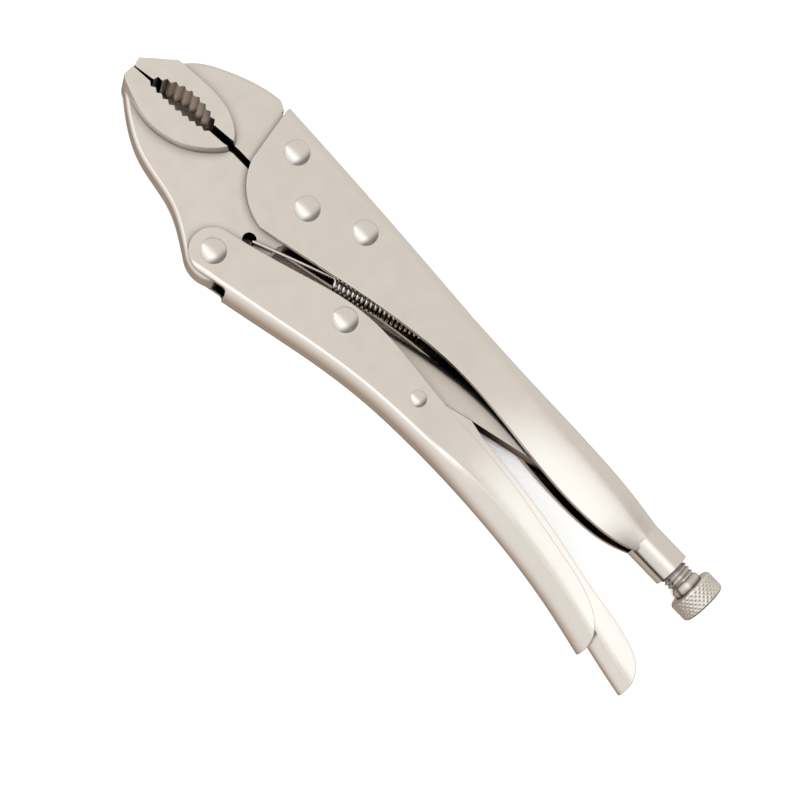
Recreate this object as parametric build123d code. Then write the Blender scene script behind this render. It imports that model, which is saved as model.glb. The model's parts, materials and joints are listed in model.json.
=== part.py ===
"""Locking pliers, about 250 mm long, with the jaws shut and locked, lying on one side.

Lengths are millimetres. +X runs from the jaw tips to the adjusting knob, +Y from the lower handle
to the fixed handle and +Z along the rivets. The origin is on the jaw pivot's axis, on the plane that
the flat backs of the rivets lie on. Every piece is drawn about the tool's mid-plane and lifted at the end.
"""
from build123d import *
from math import cos, hypot, pi, radians, sin
import os

# Thicknesses and clearances
JAW_T = 9.0
BOSS_T = 16.0
HANDLE_SHEET = 2.2
LEVER_SHEET = 1.5
LINK_T = 6.6
SIDE_GAP = 0.25
FIT = 0.05
TANG_GAP = 1.0

# Share of the way to a corner that makes a cubic curve a quarter of an ellipse
ROUND = 0.5523

# Pivots and rivets on the mid-plane, with the jaw pivot at the origin
JAW_PIVOT = (0.0, 0.0)
HANDLE_PIVOT = (-10.2, -31.6)
LINK_PIVOT = (33.8, -16.4)
LEVER_PIVOT = (67.7, -17.1)
FRONT_RIVET = (-15.3, 10.5)
REAR_RIVET = (18.1, 8.3)
RIVET_R = 3.0
HEAD_R = 4.35
HEAD_H = 1.7
BACK_H = 1.5
PIN_R = 1.8
PIN_HEAD_R = 2.8
PIN_HEAD_H = 1.1

# Jaws: the slot between them turns down to the mouth at PARTING_X. Angles are degrees round a pivot.
EAR_R = 9.0
EAR_GAP = 0.5
EAR_ARC = (-20, 80)
LOBE_R = 8.6
LOBE_ARC = (-125, -90)
LOBE_REAR = (-3.1, -38.0)
JAW_REAR = ((2.5, -23.0), (2.5, -15.0))
TANG_REAR = 26.0
TANG_LOW = 2.0
PARTING_FIXED = -2.0
PARTING_MOVABLE = -4.2
PARTING_DIP = (0.5, 1.0)
PARTING_X = (-29.0, -33.0)
TEETH = 9
TOOTH_DEPTH = 1.0
FIXED_MOUTH = ((-39.4, -3.2), (-50.1, -1.4), (-62.7, -7.1))
MOVABLE_MOUTH = ((-39.0, -5.7), (-53.0, -8.2), (-63.0, -8.3))
FIXED_TIP = ((-70.1, -8.45), (-71.0, -5.6))
MOVABLE_TIP = ((-70.2, -8.85), (-70.2, -12.6))
FIXED_BACK = (
    (-68.4, -2.9), (-65.6, -0.2), (-62.8, 2.6), (-60.2, 6.0), (-57.6, 8.8), (-52.1, 12.5), (-46.1, 15.5),
    (-38.0, 18.5), (-31.8, 19.7),
)
MOVABLE_BACK = (
    (-64.0, -17.7), (-56.0, -23.0), (-48.0, -26.5), (-40.0, -28.2), (-30.0, -30.4), (-20.0, -35.5),
)
JAW_SHOULDER = (-28.2, 17.8)
JAW_EDGE_R = 1.2
BOSS_EDGE = (
    (-60.0, 3.6), (-45.0, 4.4), (-36.5, 2.2), (-31.2, -3.2), (-34.5, -9.2), (-42.0, -15.0), (-52.0, -17.6),
    (-64.5, -15.3), (-77.0, -7.0),
)
BOSS_CENTRE = (-50.0, -6.6)
BOSS_FOOT = 1.07
BOSS_ROOT = 1.0
SPRING_HOLE = (-5.4, -20.0)
SPRING_HOLE_R = 2.3

# Handles: stations of x, spine y, bend height, bend width, extra half width of the grip at the bend, how far
# the rim draws in (less than 0 where it flares out), rim y. The first ones have flat flanks, and the grip
# starts at the last of them. A flank leaves the rim on a straight slope: how far along it that slope is set,
# its share of the way in or out by then, and how soon the flank is upright before the bend. A flank that
# flares out meets its bend at a crease, of this many degrees for each mm of flare.
INNER_BEND = 0.8
FLARE_CREASE = 31.0
RIM_OVERRUN = 1.0
FIXED_FLANK = (0.45, 0.63, 0.12)
FIXED_FLAT = 4
FIXED_STATIONS = (
    (-30.0, 19.9, 2.8, 2.8, 0.0, 0.0, -18.0),
    (0.0, 18.75, 2.8, 2.8, 0.0, 0.0, -18.0),
    (30.0, 17.2, 2.8, 2.8, 0.0, 0.0, -12.0),
    (60.0, 15.4, 3.0, 3.0, 0.0, 0.0, -8.0),
    (71.5, 15.03, 3.3, 3.3, 0.02, 0.08, -7.0),
    (83.0, 14.77, 3.9, 3.9, 0.12, 0.38, -6.0),
    (94.5, 14.57, 4.7, 4.5, 0.5, 0.72, -5.3),
    (106.0, 14.38, 5.2, 4.9, 0.9, 0.95, -5.0),
    (117.5, 14.1, 5.5, 5.1, 1.1, 1.05, -5.0),
    (129.0, 13.66, 5.8, 5.4, 1.1, 1.1, -5.2),
    (140.5, 12.9, 6.2, 5.8, 0.5, 1.6, -4.3),
    (152.0, 11.9, 6.2, 5.9, -0.75, 4.0, -1.5),
)
LOWER_FLANK = (0.55, 0.4, 0.2)
LOWER_FLAT = 6
LOWER_STATIONS = (
    (-20.0, -43.8, 3.5, 4.6, 0.0, 0.0, -20.0),
    (3.0, -38.7, 3.5, 4.6, 0.0, 0.0, -12.0),
    (20.0, -34.8, 3.3, 4.4, 0.0, 0.0, -8.0),
    (40.0, -30.5, 3.2, 4.4, 0.0, 0.0, -6.0),
    (63.0, -27.58, 3.2, 4.4, 0.0, 0.0, -6.2),
    (76.0, -27.1, 3.6, 4.6, 0.0, 0.0, -8.0),
    (89.0, -27.18, 4.8, 5.4, 0.0, -0.3, -9.0),
    (102.0, -27.72, 5.7, 6.0, 0.0, -1.0, -10.2),
    (115.0, -28.58, 5.9, 6.2, 0.0, -1.3, -11.8),
    (128.0, -29.87, 5.8, 6.2, 0.0, -1.3, -13.8),
    (141.5, -31.88, 5.7, 6.2, 0.0, -1.3, -16.5),
    (155.0, -34.62, 5.6, 6.2, 0.0, -1.3, -20.0),
    (168.5, -37.6, 5.6, 6.2, 0.0, -1.3, -22.3),
    (182.0, -40.2, 5.6, 6.2, 0.0, -1.3, -24.0),
)
FIXED_FRONT = (-27.4, 18.0)
FIXED_LOBE = ((-23.4, -1.5), (-17.0, -10.3), (-6.0, -15.1))
FIXED_RIM = (
    (3.0, -13.2), (30.0, -6.8), (60.0, -1.6), (80.0, -1.0), (108.0, -3.4), (130.0, -4.1), (142.0, -2.6),
)
LOWER_EAR_R = 7.7
LOWER_EAR_ARC = (-80, 180, 105)
LOWER_SPINE_X = 2.2
LOWER_SPINE_EDGE_Y = -36.7
LOWER_NOTCH_R = 2.4
LOWER_RIM = (
    (0.0, -20.8), (14.0, -16.3), (27.0, -12.2), (38.0, -10.2), (52.0, -10.1), (72.0, -11.9),
    (102.0, -13.7), (130.0, -18.0), (150.0, -22.7),
)
LOWER_END = ((157.0, -26.9), (160.6, -33.5))

# Neck, screw and knob, on one axis parallel to X. The channel's rim ends on the neck's underside.
SCREW_Y = 5.7
NECK_R = 6.4
NECK_X = (149.6, 163.4)
NECK_LAP = 1.0
NECK_RIM_RISE = 1.2
SCREW_R = 4.75
SCREW_GAP = 0.1
THREAD_PITCH = 1.5
THREAD_DEPTH = 0.75
THREAD_CREST = 0.15
COLLAR_R = 5.2
COLLAR_X = 168.4
KNOB_R = 8.25
KNOB_X = (171.6, 178.6)
KNOB_BEVEL = 0.7
SCREW_TIP_R = 3.7
SCREW_TIP_LENGTH = 6.0

# Toggle link and release lever. The lever lies along the lower handle from its station LEVER_FROM on.
LINK_NOSE_X = 124.0
LINK_NOSE_R = 4.4
LINK_EYE_R = 5.8
LINK_WAIST = 50.0
LINK_TOP = ((35.0, 6.5), (68.0, 5.4))
LINK_NOSE_TOP = 3.4
LINK_ROUND = (-4.4, 6.8)
LOOP_GAP = 2.6
LEVER_FROM = 4
LEVER_GAP = 0.3
LEVER_LIFT = 2.0
LEVER_BEND = (3.9, 3.8)
LEVER_RISE = 2.0
NOSE_GAP = 0.35
NOSE_REACH = 51.0
LEVER_FRONT = 4.6
LEVER_SPINE_X = 71.0
LEVER_RIM = ((91.0, -10.3), (105.0, -11.7), (130.0, -15.2), (150.0, -19.1), (168.3, -22.5))
LEVER_END = ((175.7, -26.1), (179.0, -34.0))

# Opening spring
WIRE = 1.0
COIL_R = 2.7
COIL_PITCH = 1.65
COIL_TURNS = 26
COIL_START = (23.0, -9.2)
COIL_SLOPE = 20.0
HOOK_BEND = 1.4
HOOK_RISE = 1.45
TAB_T = 1.8
TAB_HOLE_R = 1.2
TAB_R = 3.0
TAB_REACH = 9.0

# Worked out from the sizes above
INNER_HALF = JAW_T / 2 + SIDE_GAP
OUTER_HALF = INNER_HALF + HANDLE_SHEET
MID_Z = OUTER_HALF + BACK_H
FAR = 40.0
LINK_NOSE = (LINK_NOSE_X, SCREW_Y)
LINK_LENGTH = hypot(LINK_NOSE[0] - LINK_PIVOT[0], LINK_NOSE[1] - LINK_PIVOT[1])
SCREW_TIP_X = LINK_NOSE_X + LINK_NOSE_R + LOOP_GAP


def plate(edges, half):
    """A closed side outline, as thick on one side of the mid-plane as on the other."""
    return extrude(make_face(edges), half, both=True)


def hole(at, radius):
    return Pos(*at) * Cylinder(radius, 2 * FAR)


def round_about(centre, radius, degrees):
    """The point at this angle on a circle round a pivot."""
    return (centre[0] + radius * cos(radians(degrees)), centre[1] + radius * sin(radians(degrees)))


def quarter(start, corner, end):
    """A quarter of an ellipse between two places, tangent to the lines from them to the corner."""
    return Bezier(start, start + (corner - start) * ROUND, end + (corner - end) * ROUND, end)


def spine_at(stations, x):
    """Outer height of a channel's spine at x."""
    for (x0, y0, *_), (x1, y1, *_) in zip(stations, stations[1:]):
        if x <= x1:
            break
    return y0 + (y1 - y0) * (x - x0) / (x1 - x0)


def link_point(along, across):
    """A point by its distance along the toggle link and its distance to the side of its centre line."""
    ux = (LINK_NOSE[0] - LINK_PIVOT[0]) / LINK_LENGTH
    uy = (LINK_NOSE[1] - LINK_PIVOT[1]) / LINK_LENGTH
    return (LINK_PIVOT[0] + along * ux - across * uy, LINK_PIVOT[1] + along * uy + across * ux)


def tooth_edge(arc_points, into):
    """A sawtooth edge on an arc, with the roots on one side of it."""
    arc = ThreePointArc(*arc_points)
    points = []
    for tooth in range(TEETH):
        at = (tooth + 0.5) / TEETH
        slope = arc % at
        points.append(arc @ (tooth / TEETH))
        points.append(arc @ at + Vector(-slope.Y, slope.X) * into * TOOTH_DEPTH)
    points.append(arc @ 1)
    return Polyline(*points)


def parting(level, dip):
    """The two corners where a jaw's edge of the slot turns down to the mouth."""
    return (PARTING_X[0], level), (PARTING_X[1], level - dip)


def boss_face(scale, z):
    """The boss's outline at one height, grown about its centre."""
    cx, cy = BOSS_CENTRE
    points = [(cx + (x - cx) * scale, cy + (y - cy) * scale) for x, y in BOSS_EDGE]
    return Pos(0, 0, z) * make_face(Spline(*points, periodic=True)).face()


def jaw_boss():
    """The raised land that both jaws share, sloping up to its flat top on either side."""
    side = loft([boss_face(BOSS_FOOT, JAW_T / 2 - BOSS_ROOT), boss_face(1, BOSS_T / 2)])
    return side + mirror(side, about=Plane.XY)


def jaw(edges, half):
    """A jaw from its outline: the body with its long back rounded, and its share of the raised boss."""
    body = plate(edges, half)
    body = fillet(body.edges().filter_by(GeomType.BSPLINE), JAW_EDGE_R)
    return body + (jaw_boss() & plate(edges, BOSS_T))


def fixed_jaw():
    ear = EAR_R + EAR_GAP
    tang_top = [
        (x, spine_at(FIXED_STATIONS, x) - HANDLE_SHEET - TANG_GAP) for x in (JAW_SHOULDER[0], TANG_REAR)
    ]
    rear_of_ear = (JAW_PIVOT[0] + (ear**2 - TANG_LOW**2) ** 0.5, JAW_PIVOT[1] + TANG_LOW)
    front_of_ear = (JAW_PIVOT[0] - (ear**2 - PARTING_FIXED**2) ** 0.5, JAW_PIVOT[1] + PARTING_FIXED)
    edges = [
        Line(*FIXED_TIP),
        Spline(FIXED_TIP[1], *FIXED_BACK),
        Polyline(FIXED_BACK[-1], JAW_SHOULDER, *tang_top, (TANG_REAR, TANG_LOW), rear_of_ear),
        ThreePointArc(rear_of_ear, round_about(JAW_PIVOT, ear, 90), front_of_ear),
        Polyline(front_of_ear, *parting(PARTING_FIXED, PARTING_DIP[0]), FIXED_MOUTH[0]),
        tooth_edge(FIXED_MOUTH, -1),
        Line(FIXED_MOUTH[2], FIXED_TIP[0]),
    ]
    body = jaw(edges, INNER_HALF)
    return body - hole(FRONT_RIVET, RIVET_R + FIT) - hole(REAR_RIVET, RIVET_R + FIT)


def movable_jaw():
    front_of_ear = (JAW_PIVOT[0] - (EAR_R**2 - PARTING_MOVABLE**2) ** 0.5, JAW_PIVOT[1] + PARTING_MOVABLE)
    rear_of_ear, top_of_ear = (round_about(JAW_PIVOT, EAR_R, angle) for angle in EAR_ARC)
    lobe_front, lobe_low = (round_about(HANDLE_PIVOT, LOBE_R, angle) for angle in LOBE_ARC)
    edges = [
        Line(*MOVABLE_TIP),
        Spline(MOVABLE_TIP[1], *MOVABLE_BACK, lobe_front),
        ThreePointArc(lobe_front, lobe_low, LOBE_REAR),
        Polyline(LOBE_REAR, *JAW_REAR, rear_of_ear),
        ThreePointArc(rear_of_ear, top_of_ear, front_of_ear),
        Polyline(front_of_ear, *parting(PARTING_MOVABLE, PARTING_DIP[1]), MOVABLE_MOUTH[0]),
        tooth_edge(MOVABLE_MOUTH, 1),
        Line(MOVABLE_MOUTH[2], MOVABLE_TIP[0]),
    ]
    body = jaw(edges, JAW_T / 2)
    for pivot in (JAW_PIVOT, HANDLE_PIVOT):
        body -= hole(pivot, RIVET_R + FIT)
    return body - hole(SPRING_HOLE, SPRING_HOLE_R)


def channel_face(x, spine, bend, widths, rim, flank):
    """A cross-section of a bent sheet: a flat spine, two bends, and flanks that lean in or out."""
    up = 1 if spine > rim else -1
    bend_height, bend_width = bend
    half, rim_half = widths
    along, share, upright = flank
    knee = spine - up * bend_height
    crease = radians(FLARE_CREASE * max(rim_half - half, 0))
    edges = [
        Line((x, spine, half - bend_width), (x, spine, bend_width - half)),
        Line((x, rim, -rim_half), (x, rim, rim_half)),
    ]
    slope = (rim + (knee - rim) * along, rim_half + (half - rim_half) * share)
    for side in (1, -1):
        sides = ((rim, rim_half), slope, (knee + (rim - knee) * upright, half), (knee, half))
        edges.append(Bezier(*[(x, y, side * z) for y, z in sides]))
        foot = Vector(x, knee, side * half)
        crown = Vector(x, spine, side * (half - bend_width))
        lean = Vector(0, up * cos(crease), -side * sin(crease)) * bend_height * ROUND
        edges.append(Bezier(foot, foot + lean, crown + Vector(0, 0, side * bend_width * ROUND), crown))
    return make_face(edges)


def bent_sheet(stations, flank, half, sheet):
    """A bent sheet through its stations: the outer form less the inner one, open at the rim and ends."""
    outer = []
    inner = []
    for x, spine, bend_height, bend_width, bulge, draw, rim in stations:
        up = 1 if spine > rim else -1
        widths = (half + bulge, half - draw)
        outer.append(channel_face(x, spine, (bend_height, bend_width), widths, rim, flank).face())
        bend = (max(bend_height - sheet, INNER_BEND), max(bend_width - sheet, INNER_BEND))
        widths = [width - sheet for width in widths]
        inner.append(channel_face(x, spine - up * sheet, bend, widths, rim - up * RIM_OVERRUN, flank).face())
    return loft(outer) - loft(inner)


def handle_channel(stations, flank, flat, outline):
    """A handle: flat-sided front and rounded grip in one sheet, cut to its side outline."""
    front = bent_sheet(stations[:flat], flank, OUTER_HALF, HANDLE_SHEET)
    grip = bent_sheet(stations[flat - 1:], flank, OUTER_HALF, HANDLE_SHEET)
    cut = plate(outline, FAR)
    return (front & cut) + (grip & cut)


def fixed_handle():
    top = FIXED_STATIONS[0][1] + FAR
    neck_start, neck_end = NECK_X
    rim_end = (neck_start + NECK_LAP, SCREW_Y - NECK_R + NECK_RIM_RISE)
    outline = [
        Polyline(rim_end, (rim_end[0], top), (FIXED_FRONT[0], top), FIXED_FRONT, FIXED_LOBE[0]),
        ThreePointArc(*FIXED_LOBE),
        Spline(FIXED_LOBE[2], *FIXED_RIM, rim_end),
    ]
    body = handle_channel(FIXED_STATIONS, FIXED_FLANK, FIXED_FLAT, outline)
    length = neck_end - neck_start
    body += Pos(neck_start + length / 2, SCREW_Y, 0) * Rot(0, 90, 0) * Cylinder(NECK_R, length)
    bore = Cylinder(SCREW_R + SCREW_GAP, 2 * (neck_end - LINK_NOSE_X))
    body -= Pos(neck_end, SCREW_Y, 0) * Rot(0, 90, 0) * bore
    body += spring_tab()
    for rivet in (FRONT_RIVET, REAR_RIVET, JAW_PIVOT):
        body -= hole(rivet, RIVET_R + FIT)
    return body


def lower_handle():
    low = LOWER_STATIONS[-1][1] - FAR
    ear_low, ear_front, ear_top = (round_about(HANDLE_PIVOT, LOWER_EAR_R, angle) for angle in LOWER_EAR_ARC)
    corner = Vector(LOWER_SPINE_X, LOWER_SPINE_EDGE_Y)
    notch_low = corner - Vector(0, LOWER_NOTCH_R)
    notch_top = corner + (Vector(*ear_low) - corner).normalized() * LOWER_NOTCH_R
    outline = [
        Polyline(LOWER_END[1], (LOWER_END[1][0], low), (LOWER_SPINE_X, low), notch_low),
        quarter(notch_low, corner, notch_top),
        Line(notch_top, ear_low),
        ThreePointArc(ear_low, ear_front, ear_top),
        Spline(ear_top, *LOWER_RIM, *LOWER_END),
    ]
    body = handle_channel(LOWER_STATIONS, LOWER_FLANK, LOWER_FLAT, outline)
    body -= Pos(LOWER_SPINE_X - FAR, HANDLE_PIVOT[1], 0) * Box(2 * FAR, 2 * FAR, 2 * INNER_HALF)
    for pivot in (HANDLE_PIVOT, LINK_PIVOT):
        body -= hole(pivot, RIVET_R + FIT)
    return body - hole(LEVER_PIVOT, PIN_R + FIT)


def link_section():
    """The bar that the link is cut from: flat sides and a flat underside, with a rounded upper edge."""
    axis = Vector(*link_point(1, 0), 0) - Vector(*link_point(0, 0), 0)
    across = Vector(*link_point(0, 1), 0) - Vector(*link_point(0, 0), 0)
    low, top = LINK_ROUND
    half = LINK_T / 2
    edges = [Polyline((low, half), (-FAR, half), (-FAR, -half), (low, -half))]
    for side in (half, -half):
        edges.append(quarter(Vector(low, side), Vector(top, side), Vector(top, 0)))
    start = Plane(Vector(*link_point(-FAR, 0), 0), x_dir=across, z_dir=axis)
    return extrude(start * make_face(edges), LINK_LENGTH + 2 * FAR)


def toggle_link():
    eye_top = link_point(0, LINK_EYE_R)
    eye_low = link_point(0, -LINK_EYE_R)
    nose_top = link_point(LINK_LENGTH, LINK_NOSE_TOP)
    nose_low = link_point(LINK_LENGTH, -LINK_NOSE_R)
    edges = [
        ThreePointArc(eye_top, link_point(-LINK_EYE_R, 0), eye_low),
        Polyline(eye_low, link_point(LINK_WAIST, -LINK_NOSE_R), nose_low),
        ThreePointArc(nose_low, link_point(LINK_LENGTH + LINK_NOSE_R, 0), nose_top),
        Polyline(nose_top, *[link_point(*point) for point in reversed(LINK_TOP)], eye_top),
    ]
    return (plate(edges, LINK_T) & link_section()) - hole(LINK_PIVOT, RIVET_R + FIT)


def release_lever():
    """A channel nested in the lower handle, with its rim close under the link from the pin to the nose."""
    stations = [
        (x, spine + HANDLE_SHEET + LEVER_LIFT, *LEVER_BEND, 0.0, draw, rim + LEVER_RISE)
        for x, spine, *_, draw, rim in LOWER_STATIONS[LEVER_FROM:]
    ]
    low = LOWER_STATIONS[-1][1] - FAR
    eye_y = LEVER_PIVOT[1] - LEVER_FRONT
    along = LEVER_PIVOT[0] - LEVER_FRONT - LINK_PIVOT[0]
    widening = (LINK_EYE_R - LINK_NOSE_R) * (1 - along / LINK_WAIST)
    land_front = link_point(along, -LINK_NOSE_R - widening - NOSE_GAP)
    land_rear = link_point(NOSE_REACH, -LINK_NOSE_R - NOSE_GAP)
    spine_front = ((LEVER_SPINE_X, low), (LEVER_SPINE_X, eye_y), (land_front[0], eye_y))
    outline = [
        Polyline(LEVER_END[1], (LEVER_END[1][0], low), *spine_front, land_front, land_rear, LEVER_RIM[0]),
        Spline(*LEVER_RIM, *LEVER_END),
    ]
    half = INNER_HALF - LEVER_GAP
    body = bent_sheet(stations, LOWER_FLANK, half, LEVER_SHEET) & plate(outline, FAR)
    return body - hole(LEVER_PIVOT, PIN_R + FIT)


def along_screw(profile):
    """A solid turned about the screw's axis from (x, radius) points."""
    points = [(x, SCREW_Y + radius) for x, radius in profile]
    start = (profile[0][0], SCREW_Y)
    end = (profile[-1][0], SCREW_Y)
    return revolve(make_face(Polyline(start, *points, end, close=True)), Axis((0, SCREW_Y, 0), (1, 0, 0)))


def screw_nose():
    bevel = SCREW_R - SCREW_TIP_R
    tip = (SCREW_TIP_X, SCREW_TIP_R - bevel)
    shoulder = (SCREW_TIP_X + bevel, SCREW_TIP_R)
    return along_screw([tip, shoulder, (SCREW_TIP_X + SCREW_TIP_LENGTH, SCREW_TIP_R)])


def adjusting_screw():
    """Threaded shank, its thread drawn as rings, with the plain collar under the knob."""
    x = SCREW_TIP_X + SCREW_TIP_LENGTH + SCREW_GAP
    core = SCREW_R - THREAD_DEPTH
    flank = THREAD_PITCH * (1 - THREAD_CREST) / 2
    profile = []
    while x + THREAD_PITCH < COLLAR_X:
        profile.append((x, core))
        profile.append((x + flank, SCREW_R))
        profile.append((x + THREAD_PITCH - flank, SCREW_R))
        x += THREAD_PITCH
    profile += [(x, core), (COLLAR_X, core), (COLLAR_X + COLLAR_R - core, COLLAR_R), (KNOB_X[0], COLLAR_R)]
    return along_screw(profile)


def adjusting_knob():
    start, end = KNOB_X
    rim = KNOB_R - KNOB_BEVEL
    return along_screw([(start, rim), (start + KNOB_BEVEL, KNOB_R), (end - KNOB_BEVEL, KNOB_R), (end, rim)])


def rivet(at, shank_r, head_r, head_h):
    """Shank through both flanks, a domed head on the upper flank and a flat one under the lower flank."""
    foot = Vector(head_r, 0, OUTER_HALF)
    crown = Vector(0, 0, OUTER_HALF + head_h)
    outline = [quarter(foot, Vector(foot.X, 0, crown.Z), crown), Polyline(crown, (0, 0, OUTER_HALF), foot)]
    dome = revolve(make_face(outline), Axis.Z)
    back_h = BACK_H * head_h / HEAD_H
    back = Pos(0, 0, -OUTER_HALF - back_h / 2) * Cylinder(head_r, back_h)
    back = chamfer(back.edges().group_by(Axis.Z)[0], back_h / 2)
    return Pos(*at) * (Cylinder(shank_r, 2 * OUTER_HALF) + dome + back)


def coil_frame():
    """The coil's first centre, its axis, and the two directions across it."""
    turn = radians(COIL_SLOPE)
    axis = Vector(cos(turn), sin(turn), 0)
    across = Vector(-sin(turn), cos(turn), 0)
    return Vector(*COIL_START, 0), axis, across, Vector(0, 0, 1)


def coil_point(turns):
    """Place and direction of the wire's centre after so many turns from the near side."""
    centre, axis, across, up = coil_frame()
    angle = 2 * pi * turns
    place = centre + axis * (COIL_PITCH * turns) + (up * cos(angle) - across * sin(angle)) * COIL_R
    heading = axis * (COIL_PITCH / (2 * pi)) - (up * sin(angle) + across * cos(angle)) * COIL_R
    return place, heading.normalized()


def tab_point():
    """Centre of the hole that the spring's rear hook goes through."""
    centre, axis, _, _ = coil_frame()
    return centre + axis * (COIL_PITCH * COIL_TURNS + TAB_REACH)


def spring_tab():
    """The tab lanced down from the fixed handle's spine for the rear end of the spring."""
    at = tab_point()
    top = spine_at(FIXED_STATIONS, at.X) - HANDLE_SHEET / 2
    lug = Cylinder(TAB_R, TAB_T) + Pos(0, (top - at.Y) / 2, 0) * Box(2 * TAB_R, top - at.Y, TAB_T)
    return Pos(at.X, at.Y, 0) * (lug - Cylinder(TAB_HOLE_R, TAB_T))


def biarc(start, heading, end, end_heading):
    """Two arcs that meet smoothly between two places with given directions."""
    gap = end - start
    both = heading + end_heading
    lean = 2 - 2 * heading.dot(end_heading)
    reach = (((gap.dot(both)) ** 2 + lean * gap.dot(gap)) ** 0.5 - gap.dot(both)) / lean
    knee = start + heading * reach
    far_knee = end - end_heading * reach
    middle = (knee + far_knee) / 2
    first = TangentArc(start, middle, tangent=heading)
    return [first, TangentArc(middle, end, tangent=far_knee - knee)]


def straight(start, end):
    """A straight run of wire, or none where two bends meet."""
    return [Line(start, end)] if (end - start).length > WIRE / 100 else []


def bent_end(corners, reach):
    """A wire through its corners, each rounded over the same reach."""
    edges = []
    at = corners[0]
    for before, corner, after in zip(corners, corners[1:], corners[2:]):
        into = (corner - before).normalized()
        out = (after - corner).normalized()
        edges += straight(at, corner - into * reach)
        at = corner + out * reach
        edges.append(TangentArc(corner - into * reach, at, tangent=into))
    return edges + straight(at, corners[-1])


def spring_path():
    """Wire centre line: hook in the movable jaw, open coil, hook in the tab of the fixed handle."""
    near_z = JAW_T / 2 + HOOK_RISE
    hook_x = SPRING_HOLE[0] + SPRING_HOLE_R - WIRE
    hook_y = SPRING_HOLE[1]
    first, first_heading = coil_point(0)
    last, last_heading = coil_point(COIL_TURNS)
    front = [
        Vector(hook_x, hook_y, JAW_T / 2 - 2 * WIRE),
        Vector(hook_x, hook_y, near_z),
        first - first_heading * HOOK_BEND,
        first,
    ]
    tab = tab_point()
    rear = [
        last,
        last + last_heading * HOOK_BEND,
        Vector(tab.X, tab.Y, last.Z),
        Vector(tab.X, tab.Y, -TAB_T / 2 - WIRE),
    ]
    edges = bent_end(front, HOOK_BEND)
    for half_turn in range(2 * COIL_TURNS):
        edges += biarc(*coil_point(half_turn / 2), *coil_point((half_turn + 1) / 2))
    return edges + bent_end(rear, HOOK_BEND)


def least_gap(edges):
    """Smallest clear distance from the wire to itself, on points along its centre line."""
    points = []
    travelled = 0.0
    for edge in edges:
        steps = max(2, int(edge.length / (WIRE / 2)))
        for step in range(steps):
            points.append((travelled + edge.length * step / steps, edge @ (step / steps)))
        travelled += edge.length
    apart = [
        (p - q).length
        for i, (s, p) in enumerate(points)
        for t, q in points[i + 1:]
        if t - s > pi * COIL_R
    ]
    return min(apart) - WIRE


def opening_spring():
    path = spring_path()
    wire_length = sum(edge.length for edge in path)
    print(f"spring: least gap to itself {least_gap(path):.2f} mm, wire {wire_length:.0f} mm")
    start = path[0]
    section = Plane(start @ 0, z_dir=start % 0) * Circle(WIRE / 2)
    return sweep(section, path=Wire(path))


PIECES = {
    "fixed_handle": fixed_handle(),
    "fixed_jaw": fixed_jaw(),
    "movable_jaw": movable_jaw(),
    "lower_handle": lower_handle(),
    "toggle_link": toggle_link(),
    "release_lever": release_lever(),
    "adjusting_screw": adjusting_screw(),
    "adjusting_knob": adjusting_knob(),
    "screw_nose": screw_nose(),
    "opening_spring": opening_spring(),
    "lever_pin": rivet(LEVER_PIVOT, PIN_R, PIN_HEAD_R, PIN_HEAD_H),
}
RIVETS = {
    "fixed_jaw_front_rivet": FRONT_RIVET,
    "fixed_jaw_rear_rivet": REAR_RIVET,
    "jaw_pivot_rivet": JAW_PIVOT,
    "handle_pivot_rivet": HANDLE_PIVOT,
    "link_rivet": LINK_PIVOT,
}
for name, at in RIVETS.items():
    PIECES[name] = rivet(at, RIVET_R, HEAD_R, HEAD_H)

os.makedirs("parts", exist_ok=True)
for name, piece in PIECES.items():
    export_step(Pos(0, 0, MID_Z) * piece, f"parts/{name}.step")
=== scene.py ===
"""Looks of the locking pliers: satin plated steel on a pale floor, under soft studio light.

Lengths are metres, in the frame of the solids. The knurl, the screw's thread and the spring's wire are
drawn here; all other pieces keep their solids and get a material.
"""

import json
from math import cos, pi, radians, sin

import bmesh
import bpy
from mathutils import Matrix, Vector


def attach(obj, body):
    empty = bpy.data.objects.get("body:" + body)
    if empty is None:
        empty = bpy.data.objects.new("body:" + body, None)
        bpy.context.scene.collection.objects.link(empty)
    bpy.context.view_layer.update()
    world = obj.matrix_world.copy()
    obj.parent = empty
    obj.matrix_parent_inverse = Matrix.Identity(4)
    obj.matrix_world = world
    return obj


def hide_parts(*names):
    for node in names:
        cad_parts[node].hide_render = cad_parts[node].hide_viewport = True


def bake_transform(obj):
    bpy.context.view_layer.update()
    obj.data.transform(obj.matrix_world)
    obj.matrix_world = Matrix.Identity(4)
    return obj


MM = 0.001
MID_Z = 8.45 * MM

# Camera: the photograph's tilt from straight above, its roll, and the point in the middle of its frame
CAMERA_TARGET = Vector((63.98 * MM, -19.83 * MM, MID_Z))
CAMERA_DISTANCE = 698 * MM
CAMERA_TILT = radians(15)
CAMERA_ROLL = radians(46)
CAMERA_LENS = 99.0
CAMERA_NEAR = 10 * MM

# Key light: its middle, its sides, watts and colour
KEY_PLACE = Vector((0.0, -0.7, 0.75))
KEY_SIZE = (0.9, 0.5)
KEY_POWER = 3.0
KEY_COLOUR = (1.0, 0.99, 0.97)

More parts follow.
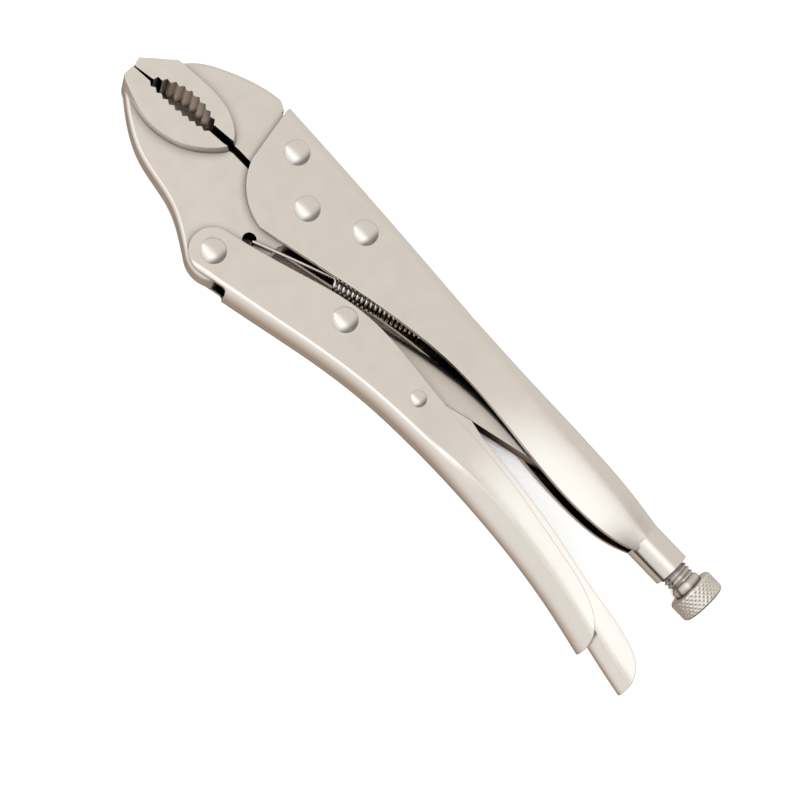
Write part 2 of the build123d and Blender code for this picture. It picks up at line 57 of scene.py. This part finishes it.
# Surroundings, by degrees from straight up towards -Y: their colour, and the share of a soft window in them
STUDIO = (
    (-180, (0.3, 0.24, 0.19)),
    (-150, (0.55, 0.5, 0.45)),
    (-110, (0.78, 0.74, 0.7)),
    (-14, (0.79, 0.75, 0.705)),
    (5, (0.95, 0.93, 0.91)),
    (50, (0.92, 0.9, 0.88)),
    (65, (0.89, 0.87, 0.84)),
    (80, (0.82, 0.78, 0.74)),
    (97, (0.73, 0.66, 0.6)),
    (125, (0.6, 0.51, 0.44)),
    (150, (0.46, 0.38, 0.32)),
    (180, (0.3, 0.24, 0.19)),
)
WINDOW = ((-180, 0.0), (-10, 0.0), (-2, 0.6), (3, 1.0), (18, 1.0), (28, 0.5), (40, 0.0), (180, 0.0))
WINDOW_LIGHT = (1.36, 1.38, 1.39)

# How far a ray points towards +X where the window fades, and where the surroundings darken to the share left
WINDOW_END = (0.2, 0.5)
SIDE_SHADE = (0.2, 0.75)
SIDE_LEFT = 0.3

# Screw and knob
SCREW_Y = 5.7 * MM
SCREW_R = 4.75 * MM
SHANK_START = 137.1 * MM
THREAD_PITCH = 1.5 * MM
THREAD_DEPTH = 0.75 * MM
THREAD_CREST = 0.15
THREAD_SIDES = 64
THREAD_WELD = THREAD_DEPTH / 100
COLLAR_R = 5.2 * MM
COLLAR_X = 168.4 * MM
KNOB_R = 8.25 * MM
KNOB_X = (171.6 * MM, 178.6 * MM)
KNOB_BEVEL = 0.7 * MM
KNURLS = 28
KNURL_DEPTH = 0.4 * MM
KNURL_STEPS = 8

# Opening spring
JAW_HALF = 4.5 * MM
WIRE = 1.0 * MM
WIRE_SIDES = 12
COIL_R = 2.7 * MM
COIL_PITCH = 1.65 * MM
COIL_TURNS = 26
COIL_STEPS = 24
COIL_START = Vector((23.0 * MM, -9.2 * MM, MID_Z))
COIL_SLOPE = radians(20)
SPRING_HOLE = (-5.4 * MM, -20.0 * MM)
SPRING_HOLE_R = 2.3 * MM
HOOK_BEND = 1.4 * MM
HOOK_RISE = 1.45 * MM
HOOK_STEPS = 8
TAB_HALF = 0.9 * MM
TAB_REACH = 9.0 * MM

# Floor: reach of its painted shade from the tool, from which side it is open there, and painted tones by
# openness
FLOOR_HALF = 3.0
FLOOR_ROUGH = 0.9
FLOOR_GLOW = 1.2
FLOOR_REACH = 40 * MM
FLOOR_LEAN = (0.8, 0.0, 0.6)
FLOOR_PAINTED_SHADE = ((0.28, (0.02, 0.015, 0.012)), (0.36, (0.1, 0.075, 0.06)), (0.42, (0.6, 0.6, 0.6)))
FLOOR_SAMPLES = 32

# Plate: clouds of tone and gloss, a fine grain, how far edges look rounded, and what painted shade leaves in
# hollows
CLOUD = {"Scale": 140.0, "Detail": 4.0, "Roughness": 0.55}
CLOUD_SPAN = (0.3, 0.7)
GRAIN = {"Detail": 3.0, "Roughness": 0.6}
GRAIN_STRENGTH = 0.5
EDGE_R = 0.35 * MM
EDGE_SAMPLES = 4
PAINTED_SHADE_DARKEST = 0.02
HOLLOW_SAMPLES = 8

# Finishes by material slot, or by node where that differs. Tones and roughness run from low to high, grain is
# per metre, and painted shade darkens colour and reflection within reach: darkest to lightest by how open it
# is.
FINISHES = {
    "plated_sheet": {
        "name": "satin_sheet",
        "tones": ((0.79, 0.75, 0.7), (0.81, 0.77, 0.72)),
        "rough": (0.2, 0.26),
        "grain": 1500.0,
        "bump": 0.008 * MM,
        "reach": 25 * MM,
        "openness": (0.55, 0.9),
        "own_form_only": True,
    },
    "plated_forging": {
        "name": "satin_forging",
        "tones": ((0.77, 0.725, 0.675), (0.8, 0.755, 0.705)),
        "rough": (0.26, 0.33),
        "grain": 1200.0,
        "bump": 0.012 * MM,
        "reach": 6 * MM,
        "openness": (0.3, 0.85),
    },
    # The link's longer reach spreads painted shade over it from the handles around it
    "toggle_link": {
        "name": "satin_link",
        "tones": ((0.77, 0.725, 0.675), (0.8, 0.755, 0.705)),
        "rough": (0.26, 0.33),
        "grain": 1200.0,
        "bump": 0.012 * MM,
        "reach": 16 * MM,
        "openness": (0.25, 0.8),
    },
    "plated_screw": {
        "name": "satin_screw",
        "tones": ((0.77, 0.73, 0.68), (0.83, 0.79, 0.74)),
        "rough": (0.26, 0.32),
        "grain": 1800.0,
        "bump": 0.008 * MM,
        "reach": 2 * MM,
        "openness": (0.1, 0.8),
    },
    "adjusting_screw": {
        "name": "satin_thread",
        "tones": ((0.72, 0.66, 0.59), (0.8, 0.74, 0.67)),
        "rough": (0.22, 0.28),
        "grain": 1800.0,
        "bump": 0.008 * MM,
        "reach": 2 * MM,
        "openness": (0.5, 1.0),
    },
    "plated_rivet": {
        "name": "smooth_rivet",
        "tones": ((0.79, 0.755, 0.71), (0.82, 0.785, 0.74)),
        "rough": (0.2, 0.25),
        "grain": 1500.0,
        "bump": 0.005 * MM,
        "reach": 2 * MM,
        "openness": (0.1, 0.6),
    },
    "spring_wire": {
        "name": "bright_wire",
        "tones": ((0.76, 0.73, 0.69), (0.82, 0.79, 0.75)),
        "rough": (0.2, 0.28),
        "grain": 2500.0,
        "bump": 0.004 * MM,
        "reach": 2 * MM,
        "openness": (0.0, 0.3),
    },
}

# Colour sockets of a mix node
MIX_FIRST = 6
MIX_SECOND = 7
MIX_RESULT = 2


def add_mesh(name, bm, material):
    """A new smooth-shaded object from a bmesh."""
    bmesh.ops.recalc_face_normals(bm, faces=bm.faces)
    mesh = bpy.data.meshes.new(name)
    bm.to_mesh(mesh)
    bm.free()
    mesh.polygons.foreach_set("use_smooth", [True] * len(mesh.polygons))
    mesh.materials.append(material)
    piece = bpy.data.objects.new(name, mesh)
    bpy.context.scene.collection.objects.link(piece)
    return piece


def skin(bm, rings, closed):
    """Faces between rings of points; a closed ring joins up with its own start."""
    rows = [[bm.verts.new(point) for point in ring] for ring in rings]
    count = len(rows[0])
    for low, high in zip(rows, rows[1:]):
        for i in range(count if closed else count - 1):
            j = (i + 1) % count
            bm.faces.new((low[i], low[j], high[j], high[i]))
    return rows


def round_screw(x, radius, angle):
    """A point at this radius and angle about the screw's axis."""
    return Vector((x, SCREW_Y + radius * cos(angle), MID_Z + radius * sin(angle)))


def screw_mesh(material):
    """Threaded shank with a right-hand thread, and the collar under the knob."""
    core = SCREW_R - THREAD_DEPTH
    flank = (1 - THREAD_CREST) / 2
    profile = ((0.0, core), (flank, SCREW_R), (1 - flank, SCREW_R))
    turns = int((COLLAR_X - SHANK_START) / THREAD_PITCH) + 2
    rings = []
    for turn in range(-1, turns):
        for along, radius in profile:
            ring = []
            for side in range(THREAD_SIDES + 1):
                x = SHANK_START + THREAD_PITCH * (turn + along + side / THREAD_SIDES)
                inside = SHANK_START < x < COLLAR_X
                x = min(max(x, SHANK_START), COLLAR_X)
                ring.append(round_screw(x, radius if inside else core, 2 * pi * side / THREAD_SIDES))
            rings.append(ring)
    bm = bmesh.new()
    skin(bm, rings, False)
    slope = COLLAR_R - core
    collar = ((COLLAR_X, core), (COLLAR_X + slope, COLLAR_R), (KNOB_X[0], COLLAR_R))
    angles = [2 * pi * side / THREAD_SIDES for side in range(THREAD_SIDES)]
    skin(bm, [[round_screw(x, radius, angle) for angle in angles] for x, radius in collar], True)
    bmesh.ops.remove_doubles(bm, verts=bm.verts, dist=THREAD_WELD)
    return add_mesh("screw_thread", bm, material)


def knurl_cut(around, along):
    """Depth of the crossed grooves, from 0 on a diamond's point to 1 in a groove."""
    first = abs((around + along) % 1 - 0.5) * 2
    second = abs((around - along) % 1 - 0.5) * 2
    return max(first, second)


def knob_mesh(material):
    """Knob with crossed grooves that make diamonds, a bevel at each end and flat ends."""
    start, end = KNOB_X
    columns = KNURLS * KNURL_STEPS
    step = 2 * pi * KNOB_R / columns
    rows = round((end - start) / step)
    rings = []
    for row in range(rows + 1):
        x = start + (end - start) * row / rows
        to_end = min(x - start, end - x)
        edge = min(to_end / KNOB_BEVEL, 1)
        ring = []
        for column in range(columns):
            cut = knurl_cut(column / KNURL_STEPS, (x - start) / step / KNURL_STEPS)
            radius = min(KNOB_R - KNURL_DEPTH * cut, KNOB_R - KNOB_BEVEL * (1 - edge))
            ring.append(round_screw(x, radius, 2 * pi * column / columns))
        rings.append(ring)
    bm = bmesh.new()
    sides = skin(bm, rings, True)
    for ring in (sides[0], sides[-1]):
        bm.faces.new(ring)
    return add_mesh("knob_knurl", bm, material)


def rounded(corners, reach):
    """Points along a wire through its corners, each corner replaced by a smooth bend."""
    points = [corners[0]]
    for before, corner, after in zip(corners, corners[1:], corners[2:]):
        into = corner - (corner - before).normalized() * reach
        out = corner + (after - corner).normalized() * reach
        for step in range(HOOK_STEPS + 1):
            t = step / HOOK_STEPS
            points.append(into * (1 - t) ** 2 + corner * (2 * t * (1 - t)) + out * t**2)
    return points


def coil_point(turns):
    """Place and direction of the wire after so many turns from the upper side."""
    axis = Vector((cos(COIL_SLOPE), sin(COIL_SLOPE), 0))
    across = Vector((-sin(COIL_SLOPE), cos(COIL_SLOPE), 0))
    up = Vector((0, 0, 1))
    angle = 2 * pi * turns
    place = COIL_START + axis * (COIL_PITCH * turns) + (up * cos(angle) - across * sin(angle)) * COIL_R
    heading = axis * (COIL_PITCH / (2 * pi)) - (up * sin(angle) + across * cos(angle)) * COIL_R
    return place, heading.normalized()


def spring_points():
    """Centre line of the wire: front hook, coil, rear hook."""
    axis = Vector((cos(COIL_SLOPE), sin(COIL_SLOPE), 0))
    tab = COIL_START + axis * (COIL_PITCH * COIL_TURNS + TAB_REACH)
    hook_x = SPRING_HOLE[0] + SPRING_HOLE_R - WIRE
    first, first_heading = coil_point(0)
    last, last_heading = coil_point(COIL_TURNS)
    front = [
        Vector((hook_x, SPRING_HOLE[1], MID_Z + JAW_HALF - 2 * WIRE)),
        Vector((hook_x, SPRING_HOLE[1], MID_Z + JAW_HALF + HOOK_RISE)),
        first - first_heading * HOOK_BEND,
        first,
    ]
    rear = [
        last,
        last + last_heading * HOOK_BEND,
        Vector((tab.x, tab.y, last.z)),
        Vector((tab.x, tab.y, MID_Z - TAB_HALF - WIRE)),
    ]
    coil = [coil_point(step / COIL_STEPS)[0] for step in range(1, COIL_STEPS * COIL_TURNS)]
    return rounded(front, HOOK_BEND) + coil + rounded(rear, HOOK_BEND) + [rear[-1]]


def spring_mesh(points, material):
    """Round wire along the spring's centre line, from ring to ring without twist."""
    headings = [(b - a).normalized() for a, b in zip(points, points[1:])]
    headings.append(headings[-1])
    angles = [2 * pi * i / WIRE_SIDES for i in range(WIRE_SIDES)]
    side = headings[0].orthogonal().normalized()
    rings = []
    for point, heading in zip(points, headings):
        side = (side - heading * side.dot(heading)).normalized()
        other = heading.cross(side)
        rings.append([point + (side * cos(a) + other * sin(a)) * (WIRE / 2) for a in angles])
    bm = bmesh.new()
    rows = skin(bm, rings, True)
    for ring in (rows[0], rows[-1]):
        bm.faces.new(ring)
    return add_mesh("spring_wire", bm, material)


def shader_tools(owner):
    """The node tree of a material or world, and a short way to add a node to it."""
    owner.use_nodes = True
    tree = owner.node_tree

    def add(kind, **values):
        node = tree.nodes.new(kind)
        for key, value in values.items():
            if hasattr(node, key):
                setattr(node, key, value)
            else:
                node.inputs[key.replace("_", " ")].default_value = value
        return node

    return tree, add


def add_ramp(add, stops):
    """A colour ramp through its stops of position and colour."""
    ramp = add("ShaderNodeValToRGB")
    elements = ramp.color_ramp.elements
    while len(elements) < len(stops):
        elements.new(1.0)
    for element, (position, colour) in zip(elements, stops):
        element.position = position
        element.color = (*colour, 1)
    return ramp


def plated_steel(name, tones, rough, grain, bump, reach, openness, own_form_only=False):
    """Nickel plate: uneven tone and gloss over a fine grain, with painted shade darkening its colour and
    reflection in hollows.
    """
    material = bpy.data.materials.new(name)
    tree, add = shader_tools(material)
    shader = tree.nodes["Principled BSDF"]
    shader.inputs["Metallic"].default_value = 1.0
    place = add("ShaderNodeTexCoord").outputs["Object"]
    cloud = add("ShaderNodeTexNoise", **CLOUD)
    tone = add_ramp(add, list(zip(CLOUD_SPAN, tones)))
    spans = dict(zip(("From_Min", "From_Max", "To_Min", "To_Max"), (*CLOUD_SPAN, *rough)))
    gloss = add("ShaderNodeMapRange", **spans)
    fine = add("ShaderNodeTexNoise", Scale=grain, **GRAIN)
    height = add("ShaderNodeBump", Strength=GRAIN_STRENGTH, Distance=bump)
    edge = add("ShaderNodeBevel", samples=EDGE_SAMPLES, Radius=EDGE_R)
    tree.links.new(edge.outputs["Normal"], height.inputs["Normal"])
    for texture in (cloud, fine):
        tree.links.new(place, texture.inputs["Vector"])
    tree.links.new(cloud.outputs["Fac"], tone.inputs["Fac"])
    tree.links.new(cloud.outputs["Fac"], gloss.inputs["Value"])
    tree.links.new(fine.outputs["Fac"], height.inputs["Height"])
    # Painted shade: colour and reflection darken where neighbours or the piece's own form close the surface
    # in
    open_share = add(
        "ShaderNodeAmbientOcclusion", samples=HOLLOW_SAMPLES, only_local=own_form_only, Distance=reach
    )
    painted_shade = add("ShaderNodeMapRange", From_Min=openness[0], From_Max=openness[1], To_Min=PAINTED_SHADE_DARKEST)
    mix = add("ShaderNodeMix", data_type="RGBA", blend_type="MULTIPLY", Factor=1.0)
    tree.links.new(open_share.outputs["AO"], painted_shade.inputs["Value"])
    tree.links.new(tone.outputs["Color"], mix.inputs[MIX_FIRST])
    tree.links.new(painted_shade.outputs["Result"], mix.inputs[MIX_SECOND])
    tree.links.new(mix.outputs[MIX_RESULT], shader.inputs["Base Color"])
    tree.links.new(painted_shade.outputs["Result"], shader.inputs["Specular Tint"])
    tree.links.new(gloss.outputs["Result"], shader.inputs["Roughness"])
    tree.links.new(height.outputs["Normal"], shader.inputs["Normal"])
    return material


def add_camera():
    """The photograph's camera: tilted from straight above and rolled."""
    right = Vector((1, 0, 0))
    up = Vector((0, cos(CAMERA_TILT), sin(CAMERA_TILT)))
    back = Vector((0, -sin(CAMERA_TILT), cos(CAMERA_TILT)))
    image_right = right * cos(CAMERA_ROLL) + up * sin(CAMERA_ROLL)
    image_up = up * cos(CAMERA_ROLL) - right * sin(CAMERA_ROLL)
    turn = Matrix((image_right, image_up, back)).transposed().to_4x4()
    data = bpy.data.cameras.new("camera")
    data.lens = CAMERA_LENS
    data.clip_start = CAMERA_NEAR
    camera = bpy.data.objects.new("camera", data)
    camera.matrix_world = Matrix.Translation(CAMERA_TARGET + back * CAMERA_DISTANCE) @ turn
    bpy.context.scene.collection.objects.link(camera)
    bpy.context.scene.camera = camera


def add_key_light():
    """A rectangular soft light that faces the tool and isn't mirrored in it."""
    data = bpy.data.lights.new("key", "AREA")
    data.shape = "RECTANGLE"
    data.size, data.size_y = KEY_SIZE
    data.energy = KEY_POWER
    data.color = KEY_COLOUR
    light = bpy.data.objects.new("key", data)
    light.location = KEY_PLACE
    light.rotation_euler = (CAMERA_TARGET - KEY_PLACE).to_track_quat("-Z", "Y").to_euler()
    light.visible_glossy = False
    bpy.context.scene.collection.objects.link(light)


def add_world():
    """Studio surroundings that run along the tool: a soft window above it, and brown below."""
    world = bpy.data.worlds.new("studio")
    bpy.context.scene.world = world
    tree, add = shader_tools(world)
    background = tree.nodes["Background"]
    split = add("ShaderNodeSeparateXYZ")
    tree.links.new(add("ShaderNodeTexCoord").outputs["Generated"], split.inputs["Vector"])
    turn = add("ShaderNodeMath", operation="ARCTAN2")
    share = add("ShaderNodeMapRange", From_Min=pi, From_Max=-pi)
    tree.links.new(split.outputs["Y"], turn.inputs[0])
    tree.links.new(split.outputs["Z"], turn.inputs[1])
    tree.links.new(turn.outputs["Value"], share.inputs["Value"])
    ramps = []
    for stops in (STUDIO, [(degrees, (light,) * 3) for degrees, light in WINDOW]):
        ramp = add_ramp(add, [((degrees + 180) / 360, colour) for degrees, colour in stops])
        tree.links.new(share.outputs["Result"], ramp.inputs["Fac"])
        ramps.append(ramp)
    studio, window = ramps
    smooth = {"interpolation_type": "SMOOTHSTEP"}
    fade = add("ShaderNodeMapRange", From_Min=WINDOW_END[1], From_Max=WINDOW_END[0], **smooth)
    tree.links.new(split.outputs["X"], fade.inputs["Value"])
    window_share = add("ShaderNodeMath", operation="MULTIPLY")
    tree.links.new(window.outputs["Color"], window_share.inputs[0])
    tree.links.new(fade.outputs["Result"], window_share.inputs[1])
    both = add("ShaderNodeMix", data_type="RGBA", blend_type="MIX")
    both.inputs[MIX_SECOND].default_value = (*WINDOW_LIGHT, 1)
    tree.links.new(window_share.outputs["Value"], both.inputs["Factor"])
    tree.links.new(studio.outputs["Color"], both.inputs[MIX_FIRST])
    shade = add("ShaderNodeMapRange", From_Min=SIDE_SHADE[0], From_Max=SIDE_SHADE[1], **smooth)
    shade.inputs["To Min"].default_value = 1.0
    shade.inputs["To Max"].default_value = SIDE_LEFT
    tree.links.new(split.outputs["X"], shade.inputs["Value"])
    tree.links.new(shade.outputs["Result"], background.inputs["Strength"])
    tree.links.new(both.outputs[MIX_RESULT], background.inputs["Color"])


def add_floor():
    """A pale plain floor that the tool lies on, with painted shade that turns it black only in narrow gaps.
    """
    bm = bmesh.new()
    bmesh.ops.create_grid(bm, x_segments=1, y_segments=1, size=FLOOR_HALF)
    material = bpy.data.materials.new("floor_white")
    tree, add = shader_tools(material)
    shader = tree.nodes["Principled BSDF"]
    shader.inputs["Roughness"].default_value = FLOOR_ROUGH
    shader.inputs["Emission Strength"].default_value = FLOOR_GLOW
    # Painted shade: the floor's colour and glow darken where the tool closes it in
    shade = add("ShaderNodeAmbientOcclusion", samples=FLOOR_SAMPLES, Distance=FLOOR_REACH)
    lean = add("ShaderNodeCombineXYZ", **dict(zip("XYZ", FLOOR_LEAN)))
    tree.links.new(lean.outputs["Vector"], shade.inputs["Normal"])
    tone = add_ramp(add, FLOOR_PAINTED_SHADE)
    tree.links.new(shade.outputs["AO"], tone.inputs["Fac"])
    tree.links.new(tone.outputs["Color"], shader.inputs["Base Color"])
    tree.links.new(tone.outputs["Color"], shader.inputs["Emission Color"])
    floor = add_mesh("floor", bm, material)
    floor.visible_glossy = False


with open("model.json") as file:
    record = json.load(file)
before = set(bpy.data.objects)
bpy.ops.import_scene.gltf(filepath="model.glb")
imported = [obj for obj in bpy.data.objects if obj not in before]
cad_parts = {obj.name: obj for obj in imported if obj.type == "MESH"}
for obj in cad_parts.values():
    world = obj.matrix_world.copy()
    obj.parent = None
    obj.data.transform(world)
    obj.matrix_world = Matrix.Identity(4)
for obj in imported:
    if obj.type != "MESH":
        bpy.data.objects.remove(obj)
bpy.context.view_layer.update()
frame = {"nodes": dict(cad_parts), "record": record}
add_camera()
add_world()
add_floor()
add_key_light()

materials = {key: plated_steel(**finish) for key, finish in FINISHES.items()}
for entry in frame["record"]["subparts"]:
    node = frame["nodes"][entry["node"]]
    node.data.materials.clear()
    node.data.materials.append(materials.get(entry["node"], materials[entry["material_slot"]]))

thread = screw_mesh(materials["adjusting_screw"])
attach(thread, "screw")
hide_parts("adjusting_screw")
knob = knob_mesh(materials["plated_screw"])
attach(knob, "screw")
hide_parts("adjusting_knob")
wire_points = spring_points()
spring = spring_mesh(wire_points, materials["spring_wire"])
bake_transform(spring)
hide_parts("opening_spring")

bpy.context.scene.view_settings.view_transform = "Standard"
